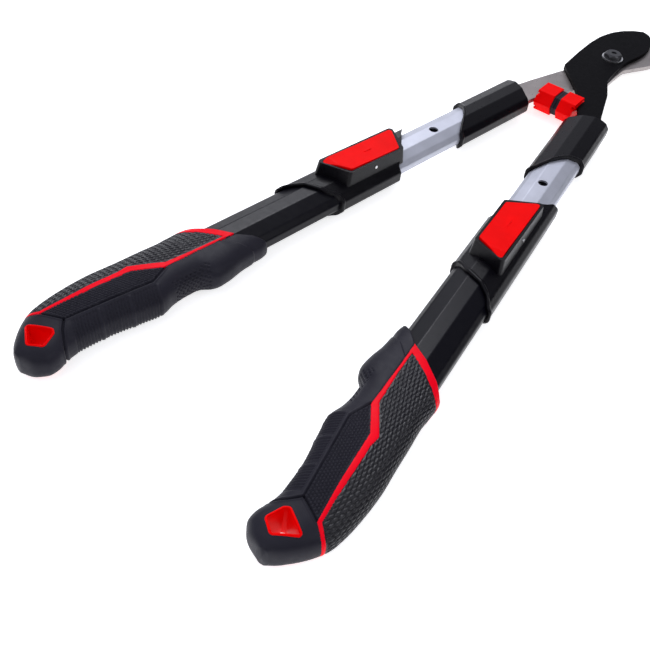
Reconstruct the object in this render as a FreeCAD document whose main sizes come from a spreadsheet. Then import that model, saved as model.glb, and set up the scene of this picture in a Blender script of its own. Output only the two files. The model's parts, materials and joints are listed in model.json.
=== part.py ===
import FreeCAD, Part
import os, math
from FreeCAD import Vector, Placement, Rotation

os.makedirs("parts", exist_ok=True)
doc = FreeCAD.newDocument("bypass_loppers")

# ---------------------------------------------------------------- driving sizes (mm, degrees)
sheet = doc.addObject("Spreadsheet::Sheet", "sizes")
SIZES = [
    ("half_angle", 7.9425), ("axes_y", 404.2), ("axes_z", 15.0),
    ("pivot_y", -125.0), ("plate_thick", 4.2), ("plate_gap", 0.3), ("bolt_shank_rad", 4.0),
    ("bolt_head_rad", 10.5), ("bolt_head_tall", 3.6), ("nut_across_rad", 8.2), ("nut_tall", 7.0),
    ("washer_rad", 10.5), ("washer_thick", 1.4),
    ("sleeve_start", 256.0), ("sleeve_end", 368.0), ("sleeve_half_wide", 19.3), ("sleeve_half_tall", 12.1),
    ("inner_start", 272.0), ("inner_end", 677.0), ("inner_half_wide", 16.8), ("inner_half_tall", 9.3), ("tube_wall", 1.4),
    ("hole_first", 383.0), ("hole_pitch", 57.0), ("hole_rad", 4.0),
    ("outer_start", 405.0), ("outer_end", 742.0), ("outer_half_wide", 19.25), ("outer_half_tall", 11.2),
    ("outer_bore_wide", 17.8), ("outer_bore_tall", 9.75),
    ("collar_half_wide", 21.3), ("collar_half_tall", 13.3), ("pocket_top", 22.7),
    ("latch_at", 440.0), ("lever_at", 471.0), ("lever_pin_z", 16.0), ("lever_pin_rad", 1.25),
    ("latch_rad", 2.4), ("latch_head_rad", 3.0), ("latch_tip_z", 9.6), ("latch_length", 8.8), ("latch_head_tall", 1.3),
    ("rivet_rad", 2.5), ("rivet_near", 296.0), ("rivet_far", 326.0), ("tang_end", 344.0), ("tang_half_wide", 12.0),
    ("bumper_pad_thick", 2.4), ("grip_wall", 1.6),
    ("spring_rad", 2.6), ("spring_wire", 0.45), ("spring_at", 494.0),
    ("screw_rad", 1.5), ("screw_head_rad", 2.9), ("screw_tall", 1.6),
]
V = {}
for i, (name, val) in enumerate(SIZES):
    sheet.set("A%d" % (i + 1), name.replace("_", " "))
    sheet.set("B%d" % (i + 1), "%g" % val)
    sheet.setAlias("B%d" % (i + 1), name)
    V[name] = float(val)
doc.recompute()

TH = math.radians(V["half_angle"])
SN, CS = math.sin(TH), math.cos(TH)
NODES = []


def handle_place(sg):
    # local x runs down the handle from the crossing point, local y across it, local z up
    ang = -(90 - V["half_angle"]) if sg > 0 else -(90 + V["half_angle"])
    return Placement(Vector(0, V["axes_y"], V["axes_z"]), Rotation(Vector(0, 0, 1), ang))


HEAD = Placement(Vector(0, V["axes_y"], V["axes_z"]), Rotation())


def wire_pts(pts, radii=None):
    """edges of a closed polygon whose corners are rounded to the given radii"""
    n = len(pts)
    if radii is None:
        radii = [0.0] * n
    elif not isinstance(radii, (list, tuple)):
        radii = [float(radii)] * n
    segs = []
    ends = []
    for i in range(n):
        p = Vector(*pts[i], 0)
        a = Vector(*pts[i - 1], 0)
        b = Vector(*pts[(i + 1) % n], 0)
        r = radii[i]
        u = (a - p)
        v = (b - p)
        lu, lv = u.Length, v.Length
        u.normalize()
        v.normalize()
        c = max(-1.0, min(1.0, u.dot(v)))
        half = math.acos(c) / 2
        if r <= 0 or half > math.radians(89.0):
            ends.append((p, p, None))
            continue
        d = min(r / math.tan(half), 0.46 * lu, 0.46 * lv)
        r = d * math.tan(half)
        p1, p2 = p + u * d, p + v * d
        bis = (u + v)
        bis.normalize()
        cen = p + bis * (r / math.sin(half))
        mid = cen + (p - cen).normalize() * r
        ends.append((p1, p2, mid))
    for i in range(n):
        p1, p2, mid = ends[i]
        if mid is not None:
            segs.append(Part.Arc(p1, mid, p2))
        q = ends[(i + 1) % n][0]
        if (q - p2).Length > 1e-6:
            segs.append(Part.LineSegment(p2, q))
    return segs


def spline_loop(pts):
    s = Part.BSplineCurve()
    s.interpolate([Vector(x, y, 0) for x, y in pts], PeriodicFlag=True)
    return [s]


def origin_plane(body, role):
    for f in body.Origin.OriginFeatures:
        if f.Role == role:
            return f
    raise RuntimeError(role)


def new_body(label, place):
    b = doc.addObject("PartDesign::Body", label)
    b.Label = label
    b.Placement = place
    NODES.append(label)
    return b


def sketch_on(body, role, name, loops, offset=0.0, expr=None):
    sk = body.newObject("Sketcher::SketchObject", name)
    sk.AttachmentSupport = [(origin_plane(body, role), "")]
    sk.MapMode = "FlatFace"
    sk.AttachmentOffset = Placement(Vector(0, 0, offset), Rotation())
    if expr:
        sk.setExpression("AttachmentOffset.Base.z", expr)
    geo = []
    for lp in loops:
        geo += lp
    sk.addGeometry(geo, False)
    return sk


def pad(body, name, sk, expr, mid=False, reverse=False):
    f = body.newObject("PartDesign::Pad", name)
    f.Profile = sk
    f.Type = "Length"
    f.Midplane = mid
    f.Reversed = reverse
    f.Length = 1
    f.setExpression("Length", expr)
    sk.Visibility = False
    return f


def pocket_all(body, name, sk):
    f = body.newObject("PartDesign::Pocket", name)
    f.Profile = sk
    f.Type = "ThroughAll"
    f.Midplane = True
    sk.Visibility = False
    return f


def pocket_len(body, name, sk, expr, reverse=False):
    f = body.newObject("PartDesign::Pocket", name)
    f.Profile = sk
    f.Type = "Length"
    f.Reversed = reverse
    f.Length = 1
    f.setExpression("Length", expr)
    sk.Visibility = False
    return f


def circ(x, y, r):
    return [Part.Circle(Vector(x, y, 0), Vector(0, 0, 1), r)]


def oct_sec(w, hgt, top, sx, sz, k=1.0):
    """flattened eight-sided tube section: half width w, half height hgt, top flat +-top, shoulder (sx, sz)"""
    pts = [(top, hgt), (-top, hgt), (-sx, sz), (-w, sz * 0.45), (-w, -sz * 0.45), (-sx, -sz),
           (-top, -hgt), (top, -hgt), (sx, -sz), (w, -sz * 0.45), (w, sz * 0.45), (sx, sz)]
    r = [3, 3, 4, 3.2, 3.2, 4, 3, 3, 4, 3.2, 3.2, 4]
    return wire_pts(pts, [q * k for q in r])


def feature(label, shape, place=None):
    o = doc.addObject("Part::Feature", label)
    o.Label = label
    o.Shape = shape
    if place is not None:
        o.Placement = place.multiply(shape.Placement)
    NODES.append(label)
    return o


def prism(edges, z0, z1):
    w = Part.Wire([e.toShape() for e in edges])
    f = Part.Face(w)
    f.translate(Vector(0, 0, z0))
    return f.extrude(Vector(0, 0, z1 - z0))


def sec_prism(edges, x0, x1):
    """a Y-Z section (drawn as x=y, y=z) carried along local x"""
    w = Part.Wire([e.toShape() for e in edges])
    f = Part.Face(w)
    f.rotate(Vector(0, 0, 0), Vector(1, 1, 1), 120)
    f.translate(Vector(x0, 0, 0))
    return f.extrude(Vector(x1 - x0, 0, 0))


def mir(pts, sg):
    q = [(x, sg * y) for x, y in pts]
    return q if sg > 0 else list(reversed(q))


def one(shape):
    s = shape.removeSplitter() if hasattr(shape, "removeSplitter") else shape
    return s


# ---------------------------------------------------------------- the two cutting plates
def hd(sg, s, t):
    return (sg * (SN * s + CS * t), -CS * s + SN * t)


te, tw = V["tang_end"], V["tang_half_wide"]
hook_pts = [hd(-1, te, tw), hd(-1, 262, tw), (-46, -240), (-41, -222), (-28.6, -183), (-17, -152), (-14.5, -132),
            (-14.5, -116), (-9, -104), (1, -98.5), (8, -92), (12, -82), (13.4, -70), (12, -58), (8.5, -46.5), (5.5, -38.5),
            (11.5, -34.0), (23, -39.5), (32.5, -51), (37.2, -68), (36.6, -86), (31, -103), (23.5, -117), (16.8, -131),
            (16.2, -150), (17, -173), (-1, -205), (-22.7, -249), hd(-1, 262, -tw), hd(-1, te, -tw)]
hook_r = [2, 0, 40, 60, 90, 30, 12, 12, 14, 14, 16, 20, 25, 25, 14, 1.2, 5, 14, 18, 25, 30, 30, 30, 16, 30, 8, 40, 20, 0, 2]
blade_pts = [hd(1, te, tw), hd(1, te, -tw), hd(1, 262, -tw), (22.7, -249), (1.6, -210), (-28.5, -176),
             (-30.5, -140), (-31, -112), (-29.5, -90), (-25, -72), (-18, -58), (-9.5, -48), (-1.0, -42.0),
             (6.5, -44.5), (13.5, -54), (18.2, -68), (19.6, -84), (18.2, -99), (15.2, -113), (13.8, -127),
             (14.6, -150), (16.6, -172), (29, -199), (41, -238), hd(1, 262, tw)]
blade_r = [2, 2, 0, 20, 40, 6, 40, 60, 60, 40, 30, 20, 2.0, 12, 25, 35, 40, 40, 25, 16, 40, 40, 60, 40, 0]


def plate(label, pts, rad, low, hole_rad, sg):
    b = new_body(label, HEAD)
    sk = sketch_on(b, "XY_Plane", label + "_outline", [wire_pts(pts, rad), circ(0, V["pivot_y"], hole_rad)], low)
    pad(b, label + "_plate", sk, "sizes.plate_thick")
    holes = []
    for key in ("rivet_near", "rivet_far"):
        x, y = hd(sg, V[key], 0)
        holes.append(circ(x, y, V["rivet_rad"]))
    sk2 = sketch_on(b, "XY_Plane", label + "_rivet_holes", holes)
    pocket_all(b, label + "_rivet_cuts", sk2)
    return b


g2 = V["plate_gap"] / 2
hook = plate("hook", hook_pts, hook_r, -g2 - V["plate_thick"], V["bolt_shank_rad"], -1)
blade = plate("cutting_blade", blade_pts, blade_r, g2, V["bolt_shank_rad"] + 0.06, 1)
doc.recompute()

# ground bevel on the convex edge of the blade, made as a cut along the edge line
edge_line = [(-1.0, -42.0), (6.5, -44.5), (13.5, -54), (18.2, -68), (19.6, -84), (18.2, -99), (15.2, -113)]

# ---------------------------------------------------------------- pivot hardware
pz = Vector(0, V["pivot_y"], 0)


def at_head(v):
    return HEAD.multVec(v)


def cyl(label, rexpr, hexpr, base, direction=Vector(0, 0, 1), r=1, h=1):
    c = doc.addObject("Part::Cylinder", label)
    c.Label = label
    c.Radius, c.Height = r, h
    c.setExpression("Radius", rexpr)
    c.setExpression("Height", hexpr)
    c.Placement = Placement(base, Rotation(Vector(0, 0, 1), direction))
    return c


top = g2 + V["plate_thick"]
bot = -top
wa = cyl("washer_disc", "sizes.washer_rad", "sizes.washer_thick", at_head(Vector(0, V["pivot_y"], top)))
wb = cyl("washer_bore", "sizes.bolt_shank_rad + 0.05", "sizes.washer_thick + 2", at_head(Vector(0, V["pivot_y"], top - 1)))
w = doc.addObject("Part::Cut", "pivot_washer")
w.Label = "pivot_washer"
w.Base, w.Tool = wa, wb
NODES.append("pivot_washer")

wt = top + V["washer_thick"]
head = Part.makeCylinder(V["bolt_head_rad"] - 1.5, 1.0, Vector(0, 0, wt))
hexa = [(9.0 * math.cos(math.radians(60 * i + 30)), 9.0 * math.sin(math.radians(60 * i + 30))) for i in range(6)]
hx = prism(wire_pts(hexa, 0.6), wt, wt + V["bolt_head_tall"] + 1.0)
cone = Part.makeCone(11.5, 6.5, 5.0, Vector(0, 0, wt))
bolt = hx.common(cone)
bolt = bolt.fuse(head)
bolt = bolt.fuse(Part.makeCylinder(V["bolt_shank_rad"], wt - bot + 9.5, Vector(0, 0, bot - 9.5)))
bolt = bolt.cut(Part.makeCylinder(2.6, 1.4, Vector(0, 0, wt + V["bolt_head_tall"] - 0.4)))
feature("pivot_bolt", one(bolt), Placement(at_head(pz), Rotation()))

nut_pts = [(V["nut_across_rad"] * math.cos(math.radians(60 * i)), V["nut_across_rad"] * math.sin(math.radians(60 * i))) for i in range(6)]
nb = new_body("pivot_nut", Placement(at_head(pz), Rotation()))
nsk = sketch_on(nb, "XY_Plane", "nut_hexagon", [wire_pts(nut_pts, 0.5), circ(0, 0, V["bolt_shank_rad"])], bot)
pad(nb, "nut_block", nsk, "sizes.nut_tall", reverse=True)
# a domed cap closes the nut and carries the foot it lies on
cap_z = bot - V["nut_tall"]
low = -14.95
dome = Part.makeCylinder(6.6, cap_z - low - 1.5, Vector(0, 0, low + 1.5)).fuse(Part.makeCone(4.2, 6.6, 1.5, Vector(0, 0, low)))
dome = dome.cut(Part.makeCylinder(V["bolt_shank_rad"] + 0.05, 2.6, Vector(0, 0, cap_z - 2.55)))
feature("pivot_cap", one(dome), Placement(at_head(pz), Rotation()))

# ---------------------------------------------------------------- bumper blocks
hexsec = [(-15.6, -0.6), (-9.7, 9.0), (9.7, 9.0), (15.6, -0.6), (9.7, -11.2), (-9.7, -11.2)]


def bumper(side, x0, x1, padx0, padx1, plate_body):
    yb = -237.5
    blk = sec_prism(wire_pts(hexsec, 1.6), x0, x1)
    blk.translate(Vector(0, yb, 0))
    slot = plate_body.Shape.copy()
    slot.Placement = Placement()
    core = slot.common(Part.makeBox(60, 60, 30, Vector(x0 - 10, yb - 30, -15)))
    blk = blk.cut(core)
    # stepped faces either side of a middle web
    for zz in (4.5, -8.4):
        blk = blk.cut(Part.makeBox(2.2, 40, 2.5, Vector(x0 - 0.01 if side == "left" else x1 - 2.19, yb - 20, zz)))
    feature(side + "_bumper_block", one(blk), HEAD)
    ps = [(-13.6, -0.6), (-8.4, 7.7), (8.4, 7.7), (13.6, -0.6), (8.4, -9.8), (-8.4, -9.8)]
    pd = sec_prism(wire_pts(ps, 1.5), padx0, padx1)
    pd.translate(Vector(0, yb, 0))
    feature(side + "_bumper_pad", pd, HEAD)


bumper("left", -20.5, -4.0, -4.0, -1.0, hook)
bumper("right", 2.5, 17.3, -0.5, 2.5, blade)

# ---------------------------------------------------------------- one telescopic handle
COLLAR_FRONT = lambda t: 425 - 1.056 * t
GRIP_IN = [(584, 20.5), (590, 23.6), (595, 24.9), (605, 25.2), (616, 26.2), (627, 28.4), (636, 29.2), (642, 27.8), (648, 23.4), (654, 22.0),
           (665, 22.2), (674, 23.8), (681, 26.2), (686, 26.8), (695, 25.4), (703, 24.2), (711, 22.8), (720, 21.6),
           (730, 21.2), (740, 21.2), (747, 21.8), (754, 23.8), (760, 26.4), (766, 27.2), (771, 25.2), (776, 20.6), (779.3, 13.5)]
GRIP_OUT = [(584, 20.5), (605, 20.8), (614, 21.0), (622, 22.6), (628, 24.2), (636, 25.0), (645, 24.2), (656, 23.3), (671, 23.8), (692, 24.2),
            (707, 24.7), (719, 24.2), (730, 23.2), (739, 22.0), (747, 20.4), (754, 18.4), (760, 15.2), (766, 10.6), (772, 4.6),
            (776.5, -1.0), (779.3, -6.0)]
GRIP_TOP = [(584, 12.9), (600, 13.0), (615, 13.2), (640, 13.8), (665, 14.4), (690, 14.8), (710, 14.9), (730, 14.4), (745, 13.6), (757, 12.8), (766, 12.2), (772, 11.2),
            (776.5, 10.0), (779.3, 8.2)]


def interp(tab, x):
    if x <= tab[0][0]:
        return tab[0][1]
    for (a, b), (c, d) in zip(tab, tab[1:]):
        if x <= c:
            return b + (d - b) * (x - a) / (c - a)
    return tab[-1][1]


def grip_ring(s, sg, inset=0.0):
    """closed rounded section of the grip at distance s"""
    ti, to, zt = interp(GRIP_IN, s) - inset, interp(GRIP_OUT, s) - inset, interp(GRIP_TOP, s) - inset
    tc = (to - ti) / 2
    a = (to + ti) / 2
    pts = []
    n = 20
    for i in range(n):
        ph = 2 * math.pi * i / n
        c, q = math.cos(ph), math.sin(ph)
        e = 2 / 2.5
        y = tc + a * math.copysign(abs(c) ** e, c)
        z = zt * math.copysign(abs(q) ** e, q)
        pts.append(Vector(s, sg * y, z))
    if sg < 0:
        pts.reverse()
    return pts


def grip_solid(sg, stations, inset=0.0):
    wires = []
    for s in stations:
        c = Part.BSplineCurve()
        c.interpolate(grip_ring(s, sg, inset), PeriodicFlag=True)
        wires.append(Part.Wire([c.toShape()]))
    return Part.makeLoft(wires, True, False)


GRIP_ST = [584, 600, 612, 625, 636, 645, 656, 672, 686, 703, 722, 740, 752, 763, 770, 775.5, 779.3]
HOLE_POLY = [(764.6, -16.9), (755.4, -12.2), (754.3, -9.8), (763.3, 2.4), (764.1, 2.2), (770.8, -10.1)]


def build_handle(sg):
    side = "right_" if sg > 0 else "left_"
    pl = handle_place(sg)
    yz = "YZ_Plane"

    # head sleeve: eight-sided tube, both ends cut on the skew
    b = new_body(side + "head_sleeve", pl)
    iw, ih = V["inner_half_wide"], V["inner_half_tall"]
    sk = sketch_on(b, yz, side + "sleeve_section", [oct_sec(V["sleeve_half_wide"], V["sleeve_half_tall"], 5.2, 16, 7.9),
                                                  oct_sec(iw + 0.02, ih + 0.02, 5.6, 13.4, 6.0)], V["sleeve_start"], "sizes.sleeve_start")
    pad(b, side + "sleeve_tube", sk, "sizes.sleeve_end - sizes.sleeve_start")
    f = [(240, -30), (270.5, -30), (269, -19), (267.5, -13), (260.5, 4), (257.5, 12), (257.5, 19), (257, 30), (240, 30)]
    rr = [0, 0, 3, 4, 8, 3, 0, 0, 0]
    sk = sketch_on(b, "XY_Plane", side + "sleeve_front_line", [wire_pts(mir(f, sg), rr if sg > 0 else rr[::-1])])
    pocket_all(b, side + "sleeve_front_cut", sk)
    f = [(400, -30), (366.5, -30), (366, -15.5), (343, 0), (337, 6), (331.5, 14.5), (331.5, 30), (400, 30)]
    rr = [0, 0, 8, 20, 12, 8, 0, 0]
    sk = sketch_on(b, "XY_Plane", side + "sleeve_rear_line", [wire_pts(mir(f, sg), rr if sg > 0 else rr[::-1])])
    pocket_all(b, side + "sleeve_rear_cut", sk)

    # inner tube with its row of latch holes and two rivet holes
    b = new_body(side + "inner_tube", pl)
    wl = V["tube_wall"]
    sk = sketch_on(b, yz, side + "inner_section", [oct_sec(iw, ih, 5.6, 13.4, 6.0),
                                                 oct_sec(iw - wl, ih - wl, 5.0, 12.4, 4.9, 0.75)], V["inner_start"], "sizes.inner_start")
    pad(b, side + "inner_wall", sk, "sizes.inner_end - sizes.inner_start")
    hs = [circ(V["hole_first"] + i * V["hole_pitch"], 0, V["hole_rad"]) for i in range(6)]
    hs += [circ(V["rivet_near"], 0, V["rivet_rad"]), circ(V["rivet_far"], 0, V["rivet_rad"])]
    sk = sketch_on(b, "XY_Plane", side + "inner_holes", hs)
    f_ = pocket_all(b, side + "inner_hole_cuts", sk)

    # nylon packer that holds the tang in the tube, two rivets through both
    top_pl = g2 + V["plate_thick"]
    z0, z1 = (g2, top_pl) if sg > 0 else (-top_pl, -g2)
    pk = sec_prism(oct_sec(iw - wl - 0.02, ih - wl - 0.02, 5.0, 12.4, 4.9, 0.75), 273, V["tang_end"] + 7)
    pk = pk.cut(Part.makeBox(V["tang_end"] + 0.5 - 270, 2 * tw + 0.04, z1 - z0 + 0.04, Vector(270, -tw - 0.02, z0 - 0.02)))
    for key in ("rivet_near", "rivet_far"):
        pk = pk.cut(Part.makeCylinder(V["rivet_rad"] + 0.02, 40, Vector(V[key], 0, -20)))
    feature(side + "tang_insert", one(pk), pl)
    rv = []
    for key in ("rivet_near", "rivet_far"):
        c = Part.makeCylinder(V["rivet_rad"], 2 * ih - 0.02, Vector(V[key], 0, -ih + 0.01))
        rv.append(c)
    feature(side + "tang_rivets", Part.makeCompound(rv), pl)

    # guide plug at the inner end of the tube
    gp = sec_prism(oct_sec(V["outer_bore_wide"] - 0.3, V["outer_bore_tall"] - 0.12, 5.6, 13.9, 6.3), V["inner_end"], V["inner_end"] + 4)
    gp = gp.fuse(sec_prism(oct_sec(iw - wl - 0.02, ih - wl - 0.02, 5.0, 12.4, 4.9, 0.75), V["inner_end"] - 4.0, V["inner_end"]))
    gp = gp.cut(sec_prism(oct_sec(iw - wl - 2.2, ih - wl - 2.2, 3.0, 9.6, 3.6, 0.6), V["inner_end"] - 5, V["inner_end"] + 5))
    feature(side + "guide_plug", one(gp), pl)

    # outer tube, front end on the same skew as the collar
    b = new_body(side + "outer_tube", pl)
    sk = sketch_on(b, yz, side + "outer_section", [oct_sec(V["outer_half_wide"], V["outer_half_tall"], 5.2, 15.5, 7.1),
                                                 oct_sec(V["outer_bore_wide"], V["outer_bore_tall"], 5.6, 14.2, 6.4)], V["outer_start"], "sizes.outer_start")
    pad(b, side + "outer_wall", sk, "sizes.outer_end - sizes.outer_start")
    f = [(395, -30), (COLLAR_FRONT(-30) + 8, -30), (COLLAR_FRONT(30) + 8, 30), (385, 30)]
    sk = sketch_on(b, "XY_Plane", side + "outer_front_line", [wire_pts(mir(f, sg))])
    pocket_all(b, side + "outer_front_cut", sk)
    sk = sketch_on(b, "XY_Plane", side + "latch_hole_outline", [circ(V["latch_at"], 0, V["latch_rad"] + 0.06)])
    pocket_len(b, side + "latch_hole", sk, "sizes.outer_half_tall + 1", reverse=True)
    sk = sketch_on(b, "XY_Plane", side + "collar_screw_holes", [circ(458, 0, V["screw_rad"]), circ(502, 0, V["screw_rad"])])
    pocket_len(b, side + "screw_holes", sk, "sizes.outer_half_tall + 1")

    # collar: shell round the tube with a raised pocket for the lock button
    ow, oh = V["outer_half_wide"], V["outer_half_tall"]
    cw, ch = V["collar_half_wide"], V["collar_half_tall"]
    plan = [(402.0, 30), (402.0, 20), (405.5, 16), (410, 13.2), (425, 0), (437.5, -11), (441, -14.5), (446, -17.5), (446, -30),
            (513, -30), (513, -19), (516.5, -14), (522, -9), (526.5, 0), (529.5, 6), (535, 13), (544.5, 19), (544.5, 30)]
    pr = [0, 4, 6, 10, 0, 10, 5, 3, 0, 0, 4, 8, 12, 14, 12, 10, 4, 0]
    outl = prism(wire_pts(mir(plan, sg), pr if sg > 0 else pr[::-1]), -30, 40)
    shell = sec_prism(oct_sec(cw, ch, 5.6, 17.2, 9.0, 1.2), 395, 550)
    block = [(422.0, 15.2), (437.6, -15.6), (502.5, -15.4), (513.8, 15.0)]
    ringb = [(424.4, 13.5), (439.6, -14.1), (499.3, -14.1), (511.2, 12.9)]
    def lofted(lo, hi, zlo, zhi, rr):
        w1 = Part.Wire([e.toShape() for e in wire_pts(mir(lo, sg), rr)])
        w2 = Part.Wire([e.toShape() for e in wire_pts(mir(hi, sg), rr)])
        w1.translate(Vector(0, 0, zlo))
        w2.translate(Vector(0, 0, zhi))
        return Part.makeLoft([w1, w2], True, True)
    raised = lofted(block, ringb, 5.0, V["pocket_top"], 3.0)
    # top of the pocket falls slightly toward the front
    lowtop = Part.makeBox(140, 60, 20, Vector(400, -30, V["pocket_top"] - 2.5))
    lowtop.rotate(Vector(424, 0, V["pocket_top"] - 2.5), Vector(0, 1, 0), -1.6)
    raised = raised.cut(lowtop)
    col = shell.common(outl).fuse(raised)
    cav = sec_prism(oct_sec(ow + 0.02, oh + 0.02, 5.2, 15.5, 7.1), 385, 560)
    col = col.cut(cav)
    lever_plan = [(427.4, 11.4), (442.6, -11.9), (496.5, -11.9), (508.6, 10.2)]
    def inset_plan(d):
        cx = sum(p[0] for p in lever_plan) / 4
        out = []
        for x, y in lever_plan:
            out.append((x + (d if x < cx else -d), y + (-d if y > 0 else d)))
        return out
    well = prism(wire_pts(mir(inset_plan(-0.5), sg), 2.6), 6.0, 40)
    col = col.cut(well)
    # latch boss hole, spring seat, cross-pin hole, screw holes
    col = col.cut(Part.makeCylinder(V["latch_rad"] + 0.06, 30, Vector(V["latch_at"], 0, 5)))
    col = col.cut(Part.makeCylinder(V["lever_pin_rad"] + 0.01, 60, Vector(V["lever_at"], -30, V["lever_pin_z"]), Vector(0, 1, 0)))
    for x in (458, 502):
        col = col.cut(Part.makeCylinder(V["screw_rad"] + 0.02, 30, Vector(x, 0, -30)))
        col = col.cut(Part.makeCylinder(V["screw_head_rad"] + 0.05, 5, Vector(x, 0, -ch - 5 + 1.2)))
    feature(side + "collar", one(col), pl)

    sc = []
    for x in (458, 502):
        h_ = Part.makeCylinder(V["screw_head_rad"], 1.1, Vector(x, 0, -ch + 0.1))
        sock = Part.makeCylinder(1.3, 0.7, Vector(x, 0, -ch + 0.05))
        q = Part.makeCylinder(V["screw_rad"], ch - oh + 1.2, Vector(x, 0, -ch + 0.1)).fuse(h_).cut(sock)
        sc.append(one(q))
    feature(side + "collar_screws", Part.makeCompound(sc), pl)

    # lock button: rocking lever with a raised thumb pad at the rear
    prof = [(448, 13.6), (426, 15.2), (426, 19.6), (428.5, 20.9), (467, 22.1), (501, 23.9), (507.5, 21.9), (510, 20.6), (510, 13.6)]
    w_ = Part.Wire([e.toShape() for e in wire_pts(prof, [0, 0, 1.5, 2, 30, 2.2, 3, 1.0, 0])])
    face = Part.Face(w_)
    face.rotate(Vector(0, 0, 0), Vector(1, 0, 0), 90)
    face.translate(Vector(0, 20, 0))
    bar = face.extrude(Vector(0, -40, 0))
    lev = bar.common(prism(wire_pts(mir(lever_plan, sg), 2.2), 0, 40))
    hollow = prism(wire_pts(mir([(430.4, 8.8), (442.4, -9.6), (463, -9.6), (463, 8.8)], sg), 1.2), 0, 18.0)
    hollow2 = prism(wire_pts(mir([(479, 9.0), (479, -9.4), (493.5, -9.4), (502.5, 7.6)], sg), 1.2), 0, 19.4)
    lev = lev.cut(hollow).cut(hollow2)
    tongue = prism(wire_pts(mir([(429.6, 9.5), (443.0, -11.0), (452, -11.0), (452, 9.5)], sg), 0.5), 14.3, 15.8)
    lev = lev.fuse(tongue)
    lev = lev.cut(Part.makeCylinder(V["latch_rad"] + 0.35, 4, Vector(V["latch_at"], 0, 12.5)))
    lev = lev.cut(Part.makeCylinder(V["lever_pin_rad"] + 0.05, 60, Vector(V["lever_at"], -30, V["lever_pin_z"]), Vector(0, 1, 0)))
    # small raised thumb mark
    mark = Part.makeBox(8, 0.9, 0.9, Vector(463, -0.45, 21.75))
    lev = lev.fuse(mark)
    feature(side + "lock_button", one(lev), pl)

    c = cyl(side + "button_pin", "sizes.lever_pin_rad", "2 * 14.9", pl.multVec(Vector(V["lever_at"], -14.9, V["lever_pin_z"])),
            pl.Rotation.multVec(Vector(0, 1, 0)))
    NODES.append(side + "button_pin")

    lp = Part.makeCylinder(V["latch_rad"], V["latch_length"] - 2.6, Vector(V["latch_at"], 0, V["latch_tip_z"]))
    lp = lp.fuse(Part.makeCylinder(V["latch_head_rad"], V["latch_head_tall"], Vector(V["latch_at"], 0, 16.2)))
    lp = lp.fuse(Part.makeCylinder(V["latch_rad"], 16.3 - V["latch_tip_z"], Vector(V["latch_at"], 0, V["latch_tip_z"])))
    feature(side + "lock_pin", one(lp), pl)

    sp = []
    r, wr = V["spring_rad"], V["spring_wire"]
    hel = Part.makeHelix(1.35, 7.0, r)
    prof_c = Part.Wire([Part.Edge(Part.Circle(Vector(r, 0, 0), Vector(0, 1, 0), wr))])
    coil = Part.Wire(hel.Edges).makePipeShell([prof_c], True, True)
    coil.translate(Vector(V["spring_at"], 0, 11.75))
    feature(side + "button_spring", coil, pl)

    # grip: red core inside a black overmould with a textured palm pad
    solid = grip_solid(sg, GRIP_ST)
    inner = sec_prism(oct_sec(ow + 0.02, oh + 0.02, 5.2, 15.5, 7.1), 560, V["outer_end"] + 0.5)
    front = [(560, -40), (588.5, -40), (590.5, -24), (597, -15.5), (607.5, -7.2), (614.5, 4.5), (622, 12.5), (630, 18.6), (634, 40), (560, 40)]
    fcut = prism(wire_pts(mir(front, sg), 3), -30, 30)
    hole = prism(wire_pts(mir(HOLE_POLY, sg), [1.6, 1.2, 1.2, 0.4, 0.4, 1.6] if sg > 0 else [1.6, 0.4, 0.4, 1.2, 1.2, 1.6]), -30, 30)
    liner_out = prism(wire_pts(mir([(765.0, -19.0), (754.1, -13.4), (752.5, -9.9), (762.7, 4.3), (764.8, 3.9), (772.9, -10.3)], sg), 1.2), -30, 30)
    gs = solid.cut(inner).cut(fcut).cut(hole)
    # plan regions: black finger side with end cap, red band, palm pad
    band_plan = [(600, -8.0), (608, -7.0), (668.3, -6.8), (688, 3.3), (726, 4.7), (753, 6.8), (760.5, 15.2), (770, 30), (766, 40), (755, 40),
                 (762, 26), (761, 19.5), (751.6, 8.9), (735.8, 8.2), (711.7, 8.1), (695, 7.5), (687.3, 8.7), (664.5, -3.2), (625, -4.7), (616, -4.5), (631.4, 15),
                 (640, 25), (643, 40), (600, 40)]
    band = prism(wire_pts(mir(band_plan, sg)), -30, 30)
    pad_plan = [(616, -4.5), (625, -4.7), (664.5, -3.2), (687.3, 8.7), (695, 7.5), (711.7, 8.1), (735.8, 8.2), (751.6, 8.9), (761, 19.5), (762, 26), (755, 40), (643, 40),
                (640, 25), (631.4, 15)]
    padp = prism(wire_pts(mir(pad_plan, sg)), -30, 30)
    thin = grip_solid(sg, GRIP_ST, V["grip_wall"])
    ring = gs.cut(thin)
    red_core = gs.common(thin).cut(liner_out)
    stripe = ring.common(band).cut(liner_out)
    palm = ring.common(padp).cut(liner_out)
    black = ring.cut(band).cut(padp).cut(liner_out)
    liner = gs.common(liner_out)
    core = red_core.fuse(stripe).fuse(liner)
    feature(side + "grip_core", core, pl)
    feature(side + "grip_overmould", black, pl)
    feature(side + "grip_palm_pad", palm, pl)


build_handle(1)
build_handle(-1)
doc.recompute()

# ---------------------------------------------------------------- checks and export
bad = []
for o in doc.Objects:
    st = [q for q in o.State if q in ("Invalid", "Error")]
    if st:
        bad.append((o.Name, st))
    sh = getattr(o, "Shape", None)
    if sh is not None and not o.isDerivedFrom("Sketcher::SketchObject") and o.TypeId.startswith(("Part::", "PartDesign::")):
        if sh.isNull() or not sh.isValid():
            bad.append((o.Name, "shape"))
if bad:
    print("BAD", bad)
    raise RuntimeError(str(bad))

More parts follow.
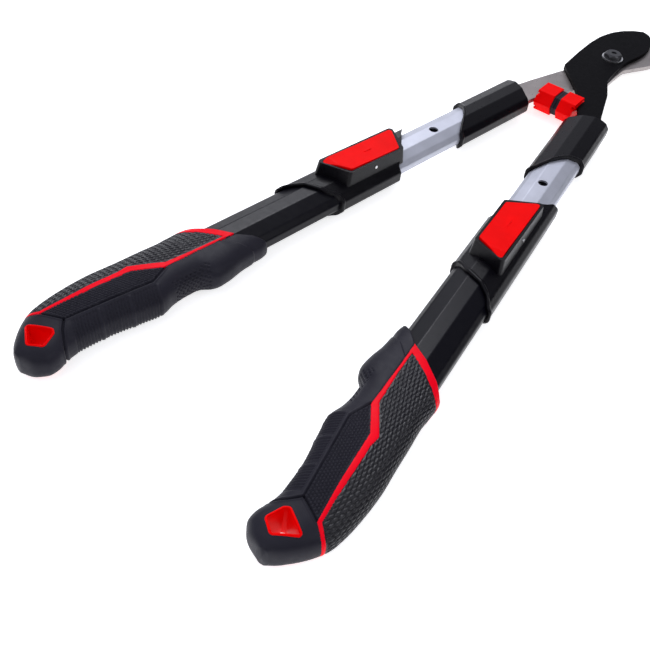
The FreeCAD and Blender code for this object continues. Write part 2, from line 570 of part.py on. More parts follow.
box = None
for n in NODES:
    o = doc.getObject(n)
    sh = o.Shape
    solids = sh.Solids
    if sh.Volume <= 0 or min(q.Volume for q in solids) <= 0:
        raise RuntimeError("volume " + n)
    print("%-24s solids %d vol %.0f" % (n, len(solids), sh.Volume))
    sh.exportStep("parts/%s.step" % n)
    bb = sh.BoundBox
    if box is None:
        box = FreeCAD.BoundBox(bb)
    else:
        box.add(bb)
print("nodes", len(NODES), "box", [round(q, 2) for q in (box.XMin, box.YMin, box.ZMin, box.XMax, box.YMax, box.ZMax)])
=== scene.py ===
import bpy, bmesh, math, json
import numpy as np
from mathutils import Vector, Matrix
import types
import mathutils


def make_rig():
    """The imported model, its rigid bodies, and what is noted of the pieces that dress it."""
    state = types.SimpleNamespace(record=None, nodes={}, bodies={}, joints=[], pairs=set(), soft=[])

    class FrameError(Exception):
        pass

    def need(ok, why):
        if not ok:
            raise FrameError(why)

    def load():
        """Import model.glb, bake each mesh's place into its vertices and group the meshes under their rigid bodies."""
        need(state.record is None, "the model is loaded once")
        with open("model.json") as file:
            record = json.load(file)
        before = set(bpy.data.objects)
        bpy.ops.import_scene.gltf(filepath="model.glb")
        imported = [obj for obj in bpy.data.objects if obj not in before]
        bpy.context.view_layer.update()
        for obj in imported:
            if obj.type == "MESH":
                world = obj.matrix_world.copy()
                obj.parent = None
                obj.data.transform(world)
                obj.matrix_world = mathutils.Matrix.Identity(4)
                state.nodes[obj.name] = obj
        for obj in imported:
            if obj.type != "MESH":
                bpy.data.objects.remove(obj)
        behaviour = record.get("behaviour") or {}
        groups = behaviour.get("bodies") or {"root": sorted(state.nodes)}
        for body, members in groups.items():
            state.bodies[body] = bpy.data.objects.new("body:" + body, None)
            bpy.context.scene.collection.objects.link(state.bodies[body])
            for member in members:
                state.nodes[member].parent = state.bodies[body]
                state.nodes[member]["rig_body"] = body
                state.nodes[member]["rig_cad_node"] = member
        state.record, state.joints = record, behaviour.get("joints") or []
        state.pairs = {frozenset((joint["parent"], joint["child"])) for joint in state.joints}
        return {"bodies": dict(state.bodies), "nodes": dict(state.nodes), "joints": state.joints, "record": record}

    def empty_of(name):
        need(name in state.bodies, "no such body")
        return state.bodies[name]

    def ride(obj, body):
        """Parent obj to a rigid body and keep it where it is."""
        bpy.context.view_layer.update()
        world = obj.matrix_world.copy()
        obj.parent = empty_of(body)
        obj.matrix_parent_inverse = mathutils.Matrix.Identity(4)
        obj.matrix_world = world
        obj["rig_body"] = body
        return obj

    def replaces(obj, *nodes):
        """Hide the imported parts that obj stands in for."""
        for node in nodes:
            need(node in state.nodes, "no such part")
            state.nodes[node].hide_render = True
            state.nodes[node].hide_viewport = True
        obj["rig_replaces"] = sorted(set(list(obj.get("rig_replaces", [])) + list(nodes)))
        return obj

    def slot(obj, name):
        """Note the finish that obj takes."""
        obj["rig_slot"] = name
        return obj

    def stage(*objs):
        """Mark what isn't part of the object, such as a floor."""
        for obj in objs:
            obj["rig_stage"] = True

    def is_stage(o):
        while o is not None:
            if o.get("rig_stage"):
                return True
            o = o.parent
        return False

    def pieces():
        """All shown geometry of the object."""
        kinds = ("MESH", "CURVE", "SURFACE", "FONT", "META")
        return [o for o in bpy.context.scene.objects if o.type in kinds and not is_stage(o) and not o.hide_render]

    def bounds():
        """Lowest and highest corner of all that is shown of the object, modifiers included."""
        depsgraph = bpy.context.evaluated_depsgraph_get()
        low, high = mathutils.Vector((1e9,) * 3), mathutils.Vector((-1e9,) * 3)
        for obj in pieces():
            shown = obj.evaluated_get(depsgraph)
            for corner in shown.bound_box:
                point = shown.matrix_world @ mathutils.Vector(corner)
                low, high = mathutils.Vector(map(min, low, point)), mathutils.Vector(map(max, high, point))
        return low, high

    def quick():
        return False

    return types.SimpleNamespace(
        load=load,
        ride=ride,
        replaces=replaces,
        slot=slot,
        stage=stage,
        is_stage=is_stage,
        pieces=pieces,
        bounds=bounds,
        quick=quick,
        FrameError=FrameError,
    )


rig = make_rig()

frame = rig.load()
cad_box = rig.bounds()
N = frame["nodes"]

HALF = math.radians(7.9425)
SN, CS = math.sin(HALF), math.cos(HALF)
AXES_Y, AXES_Z = 404.2, 15.0


# ------------------------------------------------------------------ materials
def mat(name, color, rough, metal=0.0, spec=0.5, grain=0.0, gscale=900.0, wear=0.0, bump=0.0, bscale=1500.0, coat=0.0, aniso=None, tint=0.06):
    m = bpy.data.materials.new(name)
    m.use_nodes = True
    nt = m.node_tree
    b = nt.nodes["Principled BSDF"]
    b.inputs["Base Color"].default_value = (*color, 1)
    b.inputs["Roughness"].default_value = rough
    b.inputs["Metallic"].default_value = metal
    b.inputs["Specular IOR Level"].default_value = spec
    b.inputs["Coat Weight"].default_value = coat
    b.inputs["Coat Roughness"].default_value = 0.25
    tc = nt.nodes.new("ShaderNodeTexCoord")
    # slow colour drift
    n1 = nt.nodes.new("ShaderNodeTexNoise")
    n1.inputs["Scale"].default_value = gscale * 0.05
    n1.inputs["Detail"].default_value = 4
    nt.links.new(tc.outputs["Object"], n1.inputs["Vector"])
    ramp = nt.nodes.new("ShaderNodeValToRGB")
    lo = [max(0.0, c * (1 - tint)) for c in color]
    hi = [min(1.0, c * (1 + tint) + 0.0003) for c in color]
    ramp.color_ramp.elements[0].position = 0.35
    ramp.color_ramp.elements[0].color = (*lo, 1)
    ramp.color_ramp.elements[1].position = 0.65
    ramp.color_ramp.elements[1].color = (*hi, 1)
    nt.links.new(n1.outputs["Fac"], ramp.inputs["Fac"])
    nt.links.new(ramp.outputs["Color"], b.inputs["Base Color"])
    # roughness breakup
    n2 = nt.nodes.new("ShaderNodeTexNoise")
    n2.inputs["Scale"].default_value = gscale * 0.3
    n2.inputs["Detail"].default_value = 6
    src = tc.outputs["Object"]
    if aniso is not None:
        mp = nt.nodes.new("ShaderNodeMapping")
        mp.inputs["Rotation"].default_value = (0, 0, aniso[0])
        mp.inputs["Scale"].default_value = (aniso[1], aniso[2], 1)
        nt.links.new(tc.outputs["Object"], mp.inputs["Vector"])
        src = mp.outputs["Vector"]
    nt.links.new(src, n2.inputs["Vector"])
    mr = nt.nodes.new("ShaderNodeMapRange")
    mr.inputs["From Min"].default_value = 0.3
    mr.inputs["From Max"].default_value = 0.7
    mr.inputs["To Min"].default_value = max(0.02, rough - 0.05 - wear)
    mr.inputs["To Max"].default_value = min(1.0, rough + 0.05 + wear)
    nt.links.new(n2.outputs["Fac"], mr.inputs["Value"])
    nt.links.new(mr.outputs["Result"], b.inputs["Roughness"])
    if bump > 0:
        n3 = nt.nodes.new("ShaderNodeTexNoise")
        n3.inputs["Scale"].default_value = bscale
        n3.inputs["Detail"].default_value = 3
        nt.links.new(src, n3.inputs["Vector"])
        bp = nt.nodes.new("ShaderNodeBump")
        bp.inputs["Strength"].default_value = bump
        bp.inputs["Distance"].default_value = 0.0002
        nt.links.new(n3.outputs["Fac"], bp.inputs["Height"])
        nt.links.new(bp.outputs["Normal"], b.inputs["Normal"])
    return m


M = {
    "hook_steel": mat("hook_steel", (0.33, 0.30, 0.29), 0.36, metal=0.85, wear=0.05, bump=0.35, bscale=1200, aniso=(0.3, 9.0, 0.5), tint=0.12),
    "blade_coating": mat("blade_coating", (0.0014, 0.0012, 0.0020), 0.50, metal=0.0, spec=0.04, bump=0.25, bscale=2600),
    "bright_steel": mat("bright_steel", (0.60, 0.60, 0.61), 0.32, metal=1.0, bump=0.15),
    "dark_steel": mat("dark_steel", (0.05, 0.05, 0.055), 0.38, metal=0.6, bump=0.2),
    "spring_steel": mat("spring_steel", (0.45, 0.45, 0.46), 0.3, metal=1.0, bump=0.1),
    "silver_tube": mat("silver_tube", (0.49, 0.505, 0.575), 0.42, metal=0.45, wear=0.03, bump=0.12, bscale=900, aniso=(0.0, 8.0, 0.4)),
    "black_tube": mat("black_tube", (0.0020, 0.0018, 0.0042), 0.34, metal=0.0, spec=0.17, bump=0.05, bscale=2200),
    "black_plastic": mat("black_plastic", (0.0022, 0.0018, 0.0034), 0.32, spec=0.16, bump=0.20, bscale=3200),
    "grey_nylon": mat("grey_nylon", (0.22, 0.22, 0.23), 0.55, bump=0.3, bscale=2000),
    "red_plastic": mat("red_plastic", (0.93, 0.0002, 0.0008), 0.34, spec=0.035, bump=0.12, bscale=1800, coat=0.0),
    "red_grip": mat("red_grip", (0.95, 0.0006, 0.014), 0.40, spec=0.05, bump=0.15, bscale=2200),
    "black_rubber": mat("black_rubber", (0.0155, 0.0148, 0.0225), 0.46, spec=0.13, bump=0.35, bscale=3600),
    "palm_rubber": mat("palm_rubber", (0.0066, 0.0062, 0.0098), 0.34, spec=0.34, bump=0.30, bscale=3600),
}
SLOT = {q["node"]: q["material_slot"] for q in frame["record"]["subparts"]}


def paint(obj, slot_name):
    m = M[slot_name]
    if not obj.material_slots:
        obj.data.materials.append(m)
    for ms in obj.material_slots:
        ms.material = m


for node, obj in N.items():
    paint(obj, SLOT[node])

# ------------------------------------------------------------------ moulded grips
GRIP_IN = [(584, 20.5), (590, 23.6), (595, 24.9), (605, 25.2), (616, 26.2), (627, 28.4), (636, 29.2), (642, 27.8), (648, 23.4), (654, 22.0),
           (665, 22.2), (674, 23.8), (681, 26.2), (686, 26.8), (695, 25.4), (703, 24.2), (711, 22.8), (720, 21.6),
           (730, 21.2), (740, 21.2), (747, 21.8), (754, 23.8), (760, 26.4), (766, 27.2), (771, 25.2), (776, 20.6), (779.3, 13.5)]
GRIP_OUT = [(584, 20.5), (605, 20.8), (614, 21.0), (622, 22.6), (628, 24.2), (636, 25.0), (645, 24.2), (656, 23.3), (671, 23.8), (692, 24.2),
            (707, 24.7), (719, 24.2), (730, 23.2), (739, 22.0), (747, 20.4), (754, 18.4), (760, 15.2), (766, 10.6), (772, 4.6),
            (776.5, -1.0), (779.3, -6.0)]
GRIP_TOP = [(584, 12.9), (600, 13.0), (615, 13.2), (640, 13.8), (665, 14.4), (690, 14.8), (710, 14.9), (730, 14.4), (745, 13.6), (757, 12.8), (766, 12.2), (772, 11.2),
            (776.5, 10.0), (779.3, 8.2)]
HOLE_POLY = [(764.6, -16.9), (755.4, -12.2), (754.3, -9.8), (763.3, 2.4), (764.1, 2.2), (770.8, -10.1)]
FRONT_LINE = [(-40, 588.5), (-24, 590.5), (-15.5, 597), (-7.2, 607.5), (5.2, 616.0), (15.0, 626), (20.0, 633.5), (40, 636)]
BAND_A = [(600, -8.0), (608, -7.0), (631, -6.4), (668.0, -6.8), (688, 3.2), (726, 4.7), (753, 6.7), (757.5, 11.5), (763, 17.6), (770, 30), (766, 40)]
BAND_B = [(755, 40), (762, 26), (760.5, 19.5), (756.5, 13.8), (751.6, 8.9), (735.8, 8.2), (711.7, 8.1), (695, 7.5), (687.3, 8.7), (664.5, -3.2), (644, -4.2),
          (625, -4.7), (616.3, -4.5), (622.3, 3.5), (631.4, 15.0), (638, 22.5), (641.5, 30), (643, 40)]
BAND = BAND_A + BAND_B + [(600, 40)]
PALM = BAND_B
PANEL = [(667.8, -7.0), (688, 3.2), (726, 4.7), (752.3, 6.6), (744, -7.0), (682, -13.1)]
GROOVES = [[(667.8, -7.2), (682, -13.1), (744, -7.0), (749, -13.5), (754, -23), (757, -34)], [(744, -7.0), (752.5, 6.5)]]


def hermite(tab, x):
    xs = np.array([p[0] for p in tab], float)
    ys = np.array([p[1] for p in tab], float)
    d = np.zeros_like(ys)
    h = np.diff(xs)
    dl = np.diff(ys) / h
    d[1:-1] = np.where(dl[:-1] * dl[1:] > 0, (dl[:-1] * h[1:] + dl[1:] * h[:-1]) / (h[1:] + h[:-1]), 0)
    d[0], d[-1] = dl[0], dl[-1]
    x = np.clip(x, xs[0], xs[-1])
    i = np.clip(np.searchsorted(xs, x) - 1, 0, len(xs) - 2)
    hh = h[i]
    q = (x - xs[i]) / hh
    return ((2 * q**3 - 3 * q**2 + 1) * ys[i] + (q**3 - 2 * q**2 + q) * hh * d[i] + (-2 * q**3 + 3 * q**2) * ys[i + 1] + (q**3 - q**2) * hh * d[i + 1])


EXPO = 2.5


def skin(s, ph):
    ti, to, zt = hermite(GRIP_IN, s), hermite(GRIP_OUT, s), hermite(GRIP_TOP, s)
    tc, a = (to - ti) / 2, (to + ti) / 2
    c, q = np.cos(ph), np.sin(ph)
    e = 2 / EXPO
    return tc + a * np.sign(c) * np.abs(c) ** e, zt * np.sign(q) * np.abs(q) ** e


def skin_top(s, t):
    ti, to, zt = hermite(GRIP_IN, s), hermite(GRIP_OUT, s), hermite(GRIP_TOP, s)
    tc, a = (to - ti) / 2, (to + ti) / 2
    k = np.clip(np.abs((t - tc) / np.maximum(a, 0.1)), 0, 0.999)
    return zt * (1 - k**EXPO) ** (1 / EXPO)


def inside(poly, x, y):
    r = np.zeros(x.shape, bool)
    n = len(poly)
    for i in range(n):
        x1, y1 = poly[i]
        x2, y2 = poly[(i + 1) % n]
        if y1 == y2:
            continue
        c = ((y1 > y) != (y2 > y)) & (x < (x2 - x1) * (y - y1) / (y2 - y1) + x1)
        r ^= c
    return r


def dist_line(pts, x, y, closed=False):
    d = np.full(x.shape, 1e9)
    segs = list(zip(pts, pts[1:])) + ([(pts[-1], pts[0])] if closed else [])
    for (x1, y1), (x2, y2) in segs:
        dx, dy = x2 - x1, y2 - y1
        q = np.clip(((x - x1) * dx + (y - y1) * dy) / (dx * dx + dy * dy), 0, 1)
        d = np.minimum(d, np.hypot(x - x1 - q * dx, y - y1 - q * dy))
    return d


def sstep(a, b, x):
    q = np.clip((x - a) / (b - a), 0, 1)
    return q * q * (3 - 2 * q)


def handle_xyz(sg, s, t, z):
    return np.stack([sg * (SN * s + CS * t), -CS * s + SN * t + AXES_Y, z + AXES_Z], -1) / 1000.0


def mesh_from(name, verts, faces, slots, face_slot, sg, smooth=True):
    me = bpy.data.meshes.new(name)
    me.from_pydata(verts.tolist(), [], faces if isinstance(faces, list) else faces.tolist())
    for sn in slots:
        me.materials.append(M[sn])
    if face_slot is not None:
        me.polygons.foreach_set("material_index", np.asarray(face_slot, np.int32))
    me.polygons.foreach_set("use_smooth", np.full(len(me.polygons), smooth))
    me.update()
    ob = bpy.data.objects.new(name, me)
    bpy.context.collection.objects.link(ob)
    return ob


def rounded_poly(pts, rads, n=8):
    out = []
    m = len(pts)
    for i in range(m):
        r = rads[i]
        p = np.array(pts[i], float)
        a = np.array(pts[i - 1], float) - p
        b = np.array(pts[(i + 1) % m], float) - p
        a /= np.linalg.norm(a)
        b /= np.linalg.norm(b)
        half = math.acos(np.clip(a.dot(b), -1, 1)) / 2
        d = r / math.tan(half)
        p1, p2 = p + a * d, p + b * d
        cen = p + (a + b) / np.linalg.norm(a + b) * (r / math.sin(half))
        a1 = math.atan2(*(p1 - cen)[::-1])
        a2 = math.atan2(*(p2 - cen)[::-1])
        da = (a2 - a1 + math.pi) % (2 * math.pi) - math.pi
        for k in range(n + 1):
            q = a1 + da * k / n
            out.append(cen + r * np.array([math.cos(q), math.sin(q)]))
    # long sides get extra points so that the rim can follow the skin
    fine = []
    for a, b in zip(out, out[1:] + out[:1]):
        k = max(1, int(math.ceil(np.linalg.norm(b - a) / 0.5)))
        fine += [a + (b - a) * i / k for i in range(k)]
    return np.array(fine)


def build_grip(sg):
    side = "right_" if sg > 0 else "left_"
    step = 0.9 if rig.quick() else 0.46
    nv = int(136 / step)
    ph = np.linspace(0, 2 * math.pi, nv, endpoint=False)
    # even spacing round the section
    t0, z0 = skin(np.full(2001, 690.0), np.linspace(0, 2 * math.pi, 2001))
    arc = np.concatenate([[0], np.cumsum(np.hypot(np.diff(t0), np.diff(z0)))])
    ph = np.interp(np.linspace(0, arc[-1], nv, endpoint=False), arc, np.linspace(0, 2 * math.pi, 2001))
    tf, _ = skin(np.full(nv, 610.0), ph)
    sf = np.interp(tf, [p[0] for p in FRONT_LINE], [p[1] for p in FRONT_LINE])
    nu = int(186 / step)
    u = np.linspace(0, 1, nu)
    u = 1 - (1 - u) ** 1.12
    S = sf[None, :] + (779.3 - sf[None, :]) * u[:, None]
    P = np.broadcast_to(ph[None, :], S.shape)
    T, Z = skin(S, P)
    # distance round the section, measured from the outer edge, for the texture
    dt = np.diff(np.concatenate([T, T[:, :1]], 1), axis=1)
    dz = np.diff(np.concatenate([Z, Z[:, :1]], 1), axis=1)
    A = np.cumsum(np.hypot(dt, dz), 1)
    A = np.concatenate([np.zeros((A.shape[0], 1)), A[:, :-1]], 1)
    per = A[:, -1:]
    Asym = np.where(A > per / 2, per - A, A)
    # surface normals
    X3 = np.stack([S, T, Z], -1)
    du = np.gradient(X3, axis=0)
    dv = np.roll(X3, -1, 1) - np.roll(X3, 1, 1)
    nn = np.cross(dv, du)
    nn /= np.maximum(np.linalg.norm(nn, axis=-1, keepdims=True), 1e-9)
    cen = np.stack([S, np.broadcast_to(T.mean(1, keepdims=True), S.shape), np.zeros_like(S)], -1)
    flip = np.sign(((X3 - cen) * nn).sum(-1).mean())
    nn *= flip
    D = np.zeros_like(S)
    d_band = np.minimum(dist_line(BAND_A, S, T), dist_line(BAND_B, S, T))
    in_band = inside(BAND, S, T)
    in_palm = inside(PALM, S, T)
    in_panel = inside(PANEL, S, T)
    # palm pad: long overlapping scales
    edge = sstep(0.5, 1.6, d_band)
    a = Asym / 2.5 + S / 8.2
    b = Asym / 2.5 - S / 8.2
    sc = np.minimum(np.abs(np.sin(math.pi * a)), np.abs(np.sin(math.pi * b)))
    D += np.where(in_palm, edge * (0.85 * sstep(0.05, 0.60, sc) - 0.70), 0)
    D += np.where(in_palm, -0.30 * (1 - sstep(0.25, 0.7, d_band)), 0)
    # top panel: rows of small lozenges
    d_pan = dist_line(PANEL, S, T, True)
    ax = (T * 0.995 - (S - 700) * 0.098) / 1.75
    ay = (S + T * 0.1) / 2.4
    row = np.floor(ax)
    lx = np.abs(ax - row - 0.5) * 2
    ly = np.abs((ay + 0.5 * (row % 2)) % 1.0 - 0.5) * 2
    loz = sstep(0.0, 0.45, 1.0 - np.maximum(lx, ly * 0.9 + lx * 0.25))
    D += np.where(in_panel & ~in_band, sstep(0.6, 1.4, d_pan) * (0.95 * loz - 0.78), 0)
    # red band stands a hair proud
    D += np.where(in_band, 0.16 * sstep(0.0, 0.5, d_band), 0)
    D += np.where(~in_band & ~in_palm, -0.30 * (1 - sstep(0.25, 0.7, d_band)) * (T < 12), 0)
    # moulded grooves
    for g in GROOVES:
        dg = dist_line(g, S, T)
        D += -1.45 * (1 - sstep(0.28, 0.74, dg)) * ~in_band
        D += 0.26 * np.exp(-(((dg - 1.35) / 0.5) ** 2)) * ~in_band * ~in_palm
    # finger ribs in three groups
    gl = -13.1 + (S - 682.0) * (6.1 / 62.0)
    q = S + 0.35 * T
    lim = gl - T
    for q0, ql in ((675.5, 18.0), (696.6, 19.2), (718.8, 17.5)):
        q1 = q0 + ql
        w = sstep(0, 0.8, q - q0) * sstep(0, 0.8, q1 - q) * sstep(2.6, 3.6, lim)
        D += w * (-0.40 + 0.40 * np.cos(2 * math.pi * (q - q0) / 2.25))
        D += 0.26 * np.exp(-(((q - q0 + 1.1) / 0.8) ** 2)) * sstep(2.6, 3.6, lim)
        D += -0.45 * np.exp(-(((q - q1 - 0.8) / 0.6) ** 2)) * sstep(2.6, 3.6, lim)
    # thin front collar of the grip and stippled guard
    fl = np.interp(T, [p[0] for p in FRONT_LINE], [p[1] for p in FRONT_LINE])
    D += np.where(~in_band & ~in_palm, -0.55 * (1 - sstep(13.4, 14.6, S - fl)), 0)
    st = sstep(0, 1.5, S - 641.5 + 0.4 * (T + 24)) * sstep(0, 1.5, 671.0 - S) * sstep(0, 1.2, -17.5 - T)
    D += -0.60 * st * sstep(0.05, 0.70, np.cos(S * 1.75) * np.cos(Asym * 1.75))
    D *= sstep(0.0, 0.02, 1 - u)[:, None]
    X3 = X3 + nn * D[..., None]
    # rolled front lip and the face down to the tube
    rows = []
    tc = (T[0].max() + T[0].min()) / 2
    for k, (ds, inn) in enumerate(((3.0, 2.6), (0.15, 2.4), (-0.1, 1.3), (0.05, 0.6), (0.35, 0.18))):
        base = X3[0].copy()
        base -= nn[0] * inn
        base[:, 0] = S[0] + ds
        rows.append(base)
    X3[0, :, 0] = S[0] + 0.8
    allr = np.concatenate([np.array(rows), X3], 0)
    ext = np.array([[779.8, -9.75, 0.0]])
    nr = allr.shape[0]
    V3 = np.concatenate([allr.reshape(-1, 3), ext], 0)
    verts = handle_xyz(sg, V3[:, 0], V3[:, 1], V3[:, 2])
    ii = np.arange(nr - 1)[:, None] * nv
    jj = np.arange(nv)[None, :]
    jn = (jj + 1) % nv
    F = np.stack([ii + jj, ii + jn, ii + nv + jn, ii + nv + jj], -1).reshape(-1, 4)
    fc = V3[F].mean(1)
    reg = np.zeros(len(F), int)  # 0 overmould, 1 band, 2 palm
    reg[inside(BAND, fc[:, 0], fc[:, 1])] = 1
    reg[inside(PALM, fc[:, 0], fc[:, 1])] = 2
    # the hanging hole goes right through
    big = rounded_poly(HOLE_POLY, [1.6, 1.2, 1.2, 0.4, 0.4, 1.6])
    hc = big.mean(0)
    wide = hc + (big - hc) * 1.07
    hole = inside([tuple(p) for p in wide], fc[:, 0], fc[:, 1])
    keep = ~hole
    tri_n = nv
    if sg * flip < 0:
        F = F[:, ::-1]
    objs = {}
    for k, nm, sl in ((0, "grip_shell", "black_rubber"), (1, "grip_band", "red_grip"), (2, "grip_palm", "palm_rubber")):
        sel = F[keep & (reg == k)]
        idx, inv = np.unique(sel, return_inverse=True)
        vv = verts[idx]
        ff = inv.reshape(-1, 4).tolist()
        if k == 0:
            last = (nr - 1) * nv
            loc = {int(g): i for i, g in enumerate(idx)}
            vv = np.concatenate([vv, verts[-1:]], 0)
            c_i = len(vv) - 1
            for j in range(nv):
                g1, g2_ = last + j, last + (j + 1) % nv
                if g1 in loc and g2_ in loc:
                    f3 = [loc[g1], loc[g2_], c_i]
                    ff.append(f3 if sg * flip > 0 else f3[::-1])
        ob = mesh_from(side + nm, vv, ff, [sl], None, sg)
        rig.slot(ob, sl)
        objs[nm] = ob
    # hole liner with a rolled rim on both faces
    prof = [(1.75, -0.9), (1.45, 0.05), (1.0, 0.42), (0.5, 0.40), (0.08, 0.1), (0.0, -0.6), (-0.25, -3.5), (-0.45, -6.5)]
    ring = []
    nb = len(big)
    tang = np.roll(big, -1, 0) - np.roll(big, 1, 0)
    nrm = np.stack([tang[:, 1], -tang[:, 0]], -1)
    nrm /= np.linalg.norm(nrm, axis=1, keepdims=True)
    if ((big - hc) * nrm).sum() < 0:
        nrm = -nrm
    for off, dzv in prof:
        p = big + nrm * off
        zs = skin_top(p[:, 0], p[:, 1])
        ring.append(np.stack([p[:, 0], p[:, 1], zs + dzv], -1))
    low = [np.stack([r[:, 0], r[:, 1], -r[:, 2]], -1) for r in ring[::-1]]
    R3 = np.array(ring + low)
    nR = R3.shape[0]
    lv = handle_xyz(sg, R3[..., 0].ravel(), R3[..., 1].ravel(), R3[..., 2].ravel())
    lf = []
    for i in range(nR):
        for j in range(nb):
            a0, b0 = i * nb + j, i * nb + (j + 1) % nb
            c0, d0 = ((i + 1) % nR) * nb + (j + 1) % nb, ((i + 1) % nR) * nb + j
            lf.append([a0, b0, c0, d0])
    liner = mesh_from(side + "hole_liner", lv, lf, ["red_plastic"], None, sg)
    bm = bmesh.new()
    bm.from_mesh(liner.data)
    bmesh.ops.recalc_face_normals(bm, faces=bm.faces)
    bm.to_mesh(liner.data)
    bm.free()
    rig.slot(liner, "red_grip")
    body = side + "handle"
    for ob in list(objs.values()) + [liner]:
        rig.ride(ob, body)
    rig.replaces(objs["grip_shell"], side + "grip_overmould")
    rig.replaces(objs["grip_band"], side + "grip_core")
    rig.replaces(objs["grip_palm"], side + "grip_palm_pad")


def oct_outline(w, hgt, top, sx, sz, k=1.0):
    pts = [(top, hgt), (-top, hgt), (-sx, sz), (-w, sz * 0.45), (-w, -sz * 0.45), (-sx, -sz),
           (-top, -hgt), (top, -hgt), (sx, -sz), (w, -sz * 0.45), (w, sz * 0.45), (sx, sz)]
    return rounded_poly(pts, [q * k for q in (3, 3, 4, 3.2, 3.2, 4, 3, 3, 4, 3.2, 3.2, 4)])


def build_lip(sg, name, outline, line, rads, prof, body, slot_name):
    """moulded lip that follows a skew-cut tube end; line is the cut in (s, t)"""
    cut = rounded_poly(line, rads)
    cut = cut[cut[:, 0] < line[0][0] - 1.0]
    cut = cut[np.argsort(cut[:, 1], kind="stable")]
    se = np.interp(outline[:, 0], cut[:, 1], cut[:, 0])
    tang = np.roll(outline, -1, 0) - np.roll(outline, 1, 0)
    nrm = np.stack([tang[:, 1], -tang[:, 0]], -1)
    nrm /= np.linalg.norm(nrm, axis=1, keepdims=True)
    if (outline * nrm).sum() < 0:
        nrm = -nrm
    rows = []
    for ds, off in prof:
        q = outline + nrm * off
        rows.append(np.stack([se + ds, q[:, 0], q[:, 1]], -1))
    R3 = np.array(rows)
    nR, nb = R3.shape[0], R3.shape[1]
    lv = handle_xyz(sg, R3[..., 0].ravel(), R3[..., 1].ravel(), R3[..., 2].ravel())
    lf = []
    for i in range(nR):
        for j in range(nb):
            lf.append([i * nb + j, i * nb + (j + 1) % nb, ((i + 1) % nR) * nb + (j + 1) % nb, ((i + 1) % nR) * nb + j])
    ob = mesh_from(name, lv, lf, [slot_name], None, sg)
    bm = bmesh.new()
    bm.from_mesh(ob.data)
    bmesh.ops.recalc_face_normals(bm, faces=bm.faces)
    bm.to_mesh(ob.data)
    bm.free()
    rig.slot(ob, slot_name)
    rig.ride(ob, body)
    return ob


build_grip(1)
build_grip(-1)

SLEEVE_LINE = [(400, -30), (366.5, -30), (366, -15.5), (343, 0), (337, 6), (331.5, 14.5), (331.5, 30), (400, 30)]
SLEEVE_RAD = [0.01, 0.01, 8, 20, 12, 8, 0.01, 0.01]
LIP = [(-3.4, -0.15), (-3.0, 0.42), (-2.3, 0.70), (-1.3, 0.78), (-0.5, 0.66), (0.05, 0.25), (0.2, -0.5), (0.12, -1.3), (-0.4, -1.7)]
COLLAR_LINE = [(700, -30), (513, -30), (513, -19), (516.5, -14), (522, -9), (529.5, 6), (535, 13), (544.5, 19), (544.5, 30), (700, 30)]
COLLAR_RAD = [0.01, 0.01, 4, 8, 12, 12, 10, 4, 0.01, 0.01]
for sg_, side_, body_ in ((1, "right_", "blade_side"), (-1, "left_", "hook_side")):
    build_lip(sg_, side_ + "sleeve_lip", oct_outline(19.3, 12.1, 5.2, 16, 7.9), SLEEVE_LINE, SLEEVE_RAD, LIP, body_, "black_plastic")
    build_lip(sg_, side_ + "collar_lip", oct_outline(21.3, 13.3, 5.6, 17.2, 9.0, 1.2), COLLAR_LINE, COLLAR_RAD, LIP, side_ + "handle", "black_plastic")

# ------------------------------------------------------------------ stage, light, camera
zoff = AXES_Z / 1000.0
bpy.ops.mesh.primitive_plane_add(size=12, location=(0, 0, -0.0005))
floor = bpy.context.object
floor.name = "floor"
fm = bpy.data.materials.new("floor_mat")
fm.use_nodes = True
fb = fm.node_tree.nodes["Principled BSDF"]
fb.inputs["Base Color"].default_value = (0.93, 0.93, 0.93, 1)
fb.inputs["Roughness"].default_value = 0.9
fb.inputs["Specular IOR Level"].default_value = 0.1
fb.inputs["Emission Color"].default_value = (1, 1, 1, 1)
fb.inputs["Emission Strength"].default_value = 0.70
floor.data.materials.append(fm)
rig.stage(floor)

bpy.context.scene.view_settings.view_transform = "Standard"
world = bpy.data.worlds.new("studio")
bpy.context.scene.world = world
world.use_nodes = True
bg = world.node_tree.nodes["Background"]
bg.inputs["Color"].default_value = (0.88, 0.90, 1.0, 1)
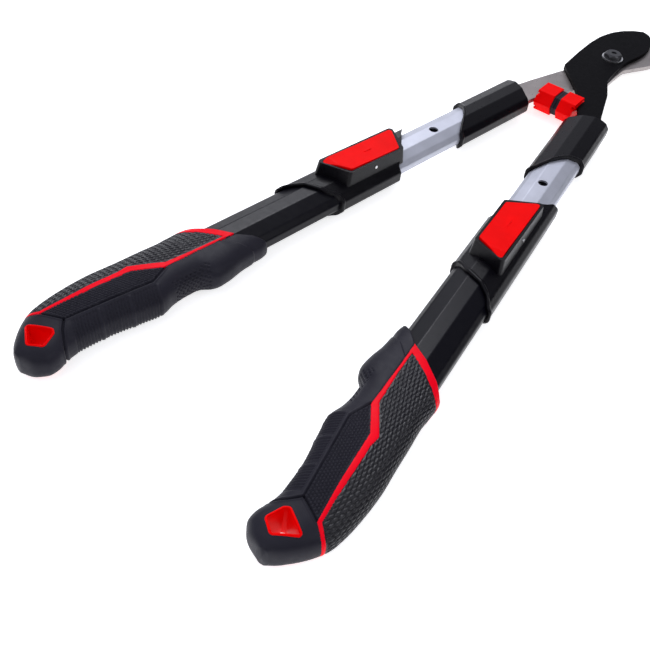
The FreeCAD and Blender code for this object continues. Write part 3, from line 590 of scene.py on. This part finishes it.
# the room is bright on one side and falls off to the other
wt = world.node_tree
wc = wt.nodes.new("ShaderNodeTexCoord")
wd = wt.nodes.new("ShaderNodeVectorMath")
wd.operation = "DOT_PRODUCT"
wd.inputs[1].default_value = (-0.85, -0.12, 0.50)
wt.links.new(wc.outputs["Generated"], wd.inputs[0])
wm = wt.nodes.new("ShaderNodeMapRange")
wm.interpolation_type = "SMOOTHSTEP"
wm.inputs["From Min"].default_value = -0.45
wm.inputs["From Max"].default_value = 0.75
wm.inputs["To Min"].default_value = 0.04
wm.inputs["To Max"].default_value = 0.70
wt.links.new(wd.outputs["Value"], wm.inputs["Value"])
wt.links.new(wm.outputs["Result"], bg.inputs["Strength"])


def area(name, loc, target, size, power, sy=None):
    ld = bpy.data.lights.new(name, "AREA")
    ld.shape = "RECTANGLE"
    ld.size = size
    ld.size_y = sy or size
    ld.energy = power
    ld.color = (0.93, 0.94, 1.0)
    lo = bpy.data.objects.new(name, ld)
    lo.location = loc
    d = Vector(target) - Vector(loc)
    lo.rotation_euler = d.to_track_quat("-Z", "Y").to_euler()
    bpy.context.collection.objects.link(lo)
    return lo


area("key", (-0.9, 0.9, 1.6), (0, 0, 0), 0.9, 22)
area("fill", (1.3, 0.1, 1.2), (0, 0, 0), 1.0, 8)
area("front", (0.3, -1.4, 1.2), (0, -0.1, 0), 1.2, 4)

cam_d = bpy.data.cameras.new("cam")
cam = bpy.data.objects.new("cam", cam_d)
bpy.context.collection.objects.link(cam)
cam_d.sensor_width = 36.0
cam_d.lens = 46.83
cam_d.clip_start = 0.01
cam_d.clip_end = 50
C = Vector((229.86, -949.20 + AXES_Y, 397.54 + AXES_Z)) / 1000.0
yaw, pitch, roll = math.radians(32.639), math.radians(-45.391), math.radians(7.771)
fw = Vector((-math.sin(yaw) * math.cos(pitch), math.cos(yaw) * math.cos(pitch), math.sin(pitch)))
r0 = fw.cross(Vector((0, 0, 1))).normalized()
u0 = r0.cross(fw)
right = r0 * math.cos(roll) + u0 * math.sin(roll)
up = -r0 * math.sin(roll) + u0 * math.cos(roll)
rot = Matrix((right, up, -fw)).transposed()
cam.matrix_world = Matrix.Translation(C) @ rot.to_4x4()
bpy.context.scene.camera = cam

bpy.context.view_layer.update()
vis_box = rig.bounds()
try:
    with open("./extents.json", "w") as f:
        json.dump({"cad": [[float(x) for x in p] for p in cad_box], "visual": [[float(x) for x in p] for p in vis_box]}, f)
except OSError:
    pass
